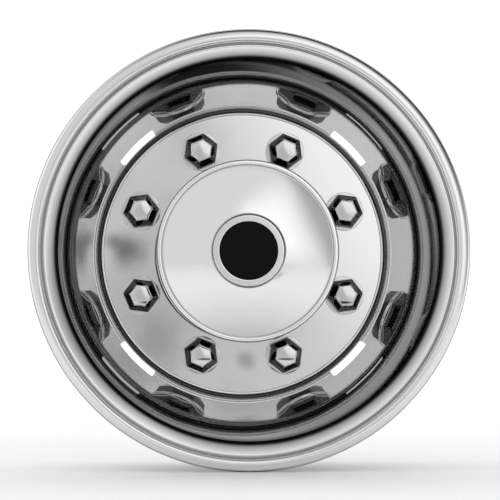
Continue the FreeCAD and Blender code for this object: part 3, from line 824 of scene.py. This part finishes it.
class WHEELCOVER_OT_badge(bpy.types.Operator):
    """Spin the plain black disc in the middle of the hub cover"""

    bl_idname = "wheel_cover.badge"
    bl_label = "Badge Blank"

    def execute(self, context):
        cover = context.scene.wheel_cover
        bm = bmesh.new()
        rounded_section(bm, badge_section(cover.hub))
        spin_section(bm, SPIN_STEPS // 2)
        bmesh.ops.recalc_face_normals(bm, faces=bm.faces)
        piece = new_piece("badge_disc", bm, black_badge(cover.finish))
        hand_over(piece, "badge_black", "badge_blank")
        return {"FINISHED"}


class WHEELCOVER_OT_lug_caps(bpy.types.Operator):
    """Stand a hexagonal cap over each of the wheel's studs"""

    bl_idname = "wheel_cover.lug_caps"
    bl_label = "Lug Caps"

    def execute(self, context):
        cover = context.scene.wheel_cover
        lug = cover.lug
        plate = chrome_plate(cover.finish, lug)
        unplated = bpy.data.materials["mill_steel"]
        nut_room = [(shoulder_room(lug), lug.shank_height, 0)]
        sleeve_seat = [(lug.seat_radius, lug.socket_height, 0), (lug.seat_radius, lug.seat_height, 0)]
        for n in LUGS:
            fixed = n in FIXED_LUGS
            skirt = lug.skirt_depth if fixed else cover.liner.sheet
            bm = lug_cap_mesh(lug, skirt, nut_room if fixed else sleeve_seat)
            bmesh.ops.transform(bm, matrix=lug_place(n), verts=bm.verts)
            hand_over(new_piece(f"lug_cap_{n}", bm, plate, unplated), "lug_chrome", f"lug_cover_{n}")
        return {"FINISHED"}


class WHEELCOVER_OT_hardware(bpy.types.Operator):
    """Finish the hidden parts behind the disc: retainers, jam nuts, sleeves and clips"""

    bl_idname = "wheel_cover.hardware"
    bl_label = "Hidden Hardware"

    def execute(self, context):
        finish = context.scene.wheel_cover.finish
        spring = hardware_steel("spring_steel", finish.spring, roughness=0.3)
        zinc = hardware_steel("zinc_plate", finish.zinc, roughness=0.38)
        dressed = {f"lug_retainer_{n}": spring for n in FIXED_LUGS}
        dressed.update({f"hub_clip_{n}": spring for n in CLIPS})
        for n in REMOVABLE_LUGS:
            dressed[f"jam_nut_{n}"] = dressed[f"lug_sleeve_{n}"] = zinc
        for node, material in dressed.items():
            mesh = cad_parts[node].data
            mesh.materials.clear()
            mesh.materials.append(material)
        return {"FINISHED"}


class WHEELCOVER_OT_stage(bpy.types.Operator):
    """Set the camera, the pale floor and the soft light"""

    bl_idname = "wheel_cover.stage"
    bl_label = "Stage"

    def execute(self, context):
        stage = context.scene.wheel_cover.stage
        context.scene.view_settings.view_transform = "Standard"
        self.camera(context.scene, stage)
        self.floor(stage)
        self.card(stage)
        self.cloth(stage)
        self.world(context.scene, stage)
        return {"FINISHED"}

    def camera(self, scene, stage):
        """Look at the middle of the lip from the photographed side."""
        data = bpy.data.cameras.new("camera")
        data.lens = stage.lens
        camera = bpy.data.objects.new("camera", data)
        scene.collection.objects.link(camera)
        turn, lift = stage.camera_azimuth, stage.camera_elevation
        back = Vector((math.sin(turn) * math.cos(lift), -math.cos(turn) * math.cos(lift), math.sin(lift)))
        target = Vector((0, CAD_BOX[0].y, 0))
        camera.location = target + back * stage.camera_distance
        camera.rotation_euler = (-back).to_track_quat("-Z", "Y").to_euler()
        scene.camera = camera

    def floor(self, stage):
        """Pale round floor that fades into the backdrop."""
        bm = bmesh.new()
        bmesh.ops.create_circle(bm, cap_ends=True, segments=CAP_STEPS, radius=stage.floor_radius,
                                matrix=Matrix.Translation((0, 0, CAD_BOX[0].z)))
        material = bpy.data.materials.new("pale_floor")
        shader = Shader(material)
        x, y, _ = shader.parts(shader.place())
        firm = 1 - shader.rise((x * x + y * y) ** 0.5, start=stage.floor_firm, end=stage.floor_radius)
        shader.matt(stage.floor_colour, firm)
        new_piece("floor", bm, material)

    def card(self, stage):
        """Dark arched card that only the polished metal sees, for the dark lines in its reflections."""
        bm = bmesh.new()
        rows = [bm.verts.new((stage.card_radius, -stage.card_radius / math.tan(edge), 0))
                for edge in (stage.card_front, stage.card_back)]
        bm.edges.new(rows)
        turn_about_axis(bm, -stage.card_start)
        bmesh.ops.spin(bm, geom=bm.verts[:] + bm.edges[:], cent=(0, 0, 0), axis=WHEEL_AXIS,
                       angle=stage.card_start - stage.card_end, steps=CAP_STEPS)
        material = bpy.data.materials.new("dark_card")
        shader = Shader(material)
        x, y, z = shader.parts(shader.place())
        front = -stage.card_radius / math.tan(stage.card_front)
        soft = shader.rise(y, start=front, end=0.0) * shader.rise(x, start=-stage.card_radius, end=0.0)
        soft = soft * shader.rise(z, start=CAD_BOX[0].z, end=stage.card_radius / 2)
        shader.matt(stage.card_colour, soft)
        self.only_mirrored(new_piece("card", bm, material))

    def cloth(self, stage):
        """Dark cloth on the floor before the cover, which only the polished metal sees."""
        bm = bmesh.new()
        middle = Vector((stage.cloth_side, -stage.cloth_before, CAD_BOX[0].z + stage.cloth_lift))
        bmesh.ops.create_circle(bm, cap_ends=True, segments=CAP_STEPS, radius=stage.cloth_radius,
                                matrix=Matrix.Translation(middle))
        material = bpy.data.materials.new("dark_cloth")
        shader = Shader(material)
        x, y, _ = shader.parts(shader.place())
        away = ((x - middle.x) ** 2.0 + (y - middle.y) ** 2.0) ** 0.5
        soft = 1 - shader.rise(away, start=0.3 * stage.cloth_radius, end=stage.cloth_radius)
        shader.matt(stage.card_colour, soft)
        self.only_mirrored(new_piece("cloth", bm, material))

    def only_mirrored(self, piece):
        """Stage object that shows in the metal alone."""
        piece.visible_camera = piece.visible_diffuse = piece.visible_shadow = False

    def world(self, scene, stage):
        """White light behind, less before the cover, least round the camera, and a soft box at the right."""
        world = bpy.data.worlds.new("studio")
        scene.world = world
        shader = Shader(world)
        x, y, z = shader.parts(shader.node("ShaderNodeTexCoord", output="Generated"))
        before = 1 - shader.rise(y, start=-0.3, end=0.2)
        along = math.cos(stage.box_turn) * x + math.sin(stage.box_turn) * z
        across = math.cos(stage.box_turn) * z - math.sin(stage.box_turn) * x
        spread, reach = across * across, along * along
        box = shader.rise(along, start=0.035, end=0.1 + spread)
        box = box * (1 - shader.rise(along, start=0.45, end=0.8))
        box = box * (1 - shader.rise(spread, start=0.02, end=0.35))
        box = box * shader.rise(z, start=-0.08 - reach, end=0.03 + 0.6 * reach)
        side = shader.rise(along, start=0.6, end=0.8)
        lens = 1 - shader.rise(x * x + z * z, start=0.0, end=0.04)
        extra = stage.box_light * box - stage.lens_shade * lens - stage.side_shade * side
        power = stage.back_light + before * (stage.front_light - stage.back_light + extra)
        light = shader.node("ShaderNodeBackground", None, (1, 1, 1, 1), power)
        shader.node("ShaderNodeOutputWorld", None, light)


PIECES = (WHEELCOVER_OT_liner, WHEELCOVER_OT_hub, WHEELCOVER_OT_badge, WHEELCOVER_OT_lug_caps,
          WHEELCOVER_OT_hardware, WHEELCOVER_OT_stage)


class WHEELCOVER_PT_panel(bpy.types.Panel):
    """Buttons and sizes of the wheel cover"""

    bl_idname = "WHEELCOVER_PT_panel"
    bl_label = "Wheel Cover"
    bl_space_type = "VIEW_3D"
    bl_region_type = "UI"
    bl_category = "Wheel Cover"

    def draw(self, context):
        cover = context.scene.wheel_cover
        for operator in PIECES:
            self.layout.operator(operator.bl_idname)
        for group in (cover.liner, cover.hub, cover.lug, cover.finish, cover.stage):
            box = self.layout.box()
            for name in group.__annotations__:
                box.prop(group, name)


CLASSES = (LinerSizes, HubSizes, LugSizes, Finishes, StageSettings, WheelCoverSettings, *PIECES,
           WHEELCOVER_PT_panel)


def register():
    for cls in CLASSES:
        bpy.utils.register_class(cls)
    bpy.types.Scene.wheel_cover = PointerProperty(type=WheelCoverSettings)


def unregister():
    del bpy.types.Scene.wheel_cover
    for cls in reversed(CLASSES):
        bpy.utils.unregister_class(cls)


def main():
    register()
    bpy.ops.wheel_cover.liner()
    bpy.ops.wheel_cover.hub()
    bpy.ops.wheel_cover.badge()
    bpy.ops.wheel_cover.lug_caps()
    bpy.ops.wheel_cover.hardware()
    bpy.ops.wheel_cover.stage()


if __name__ == "__main__":
    main()
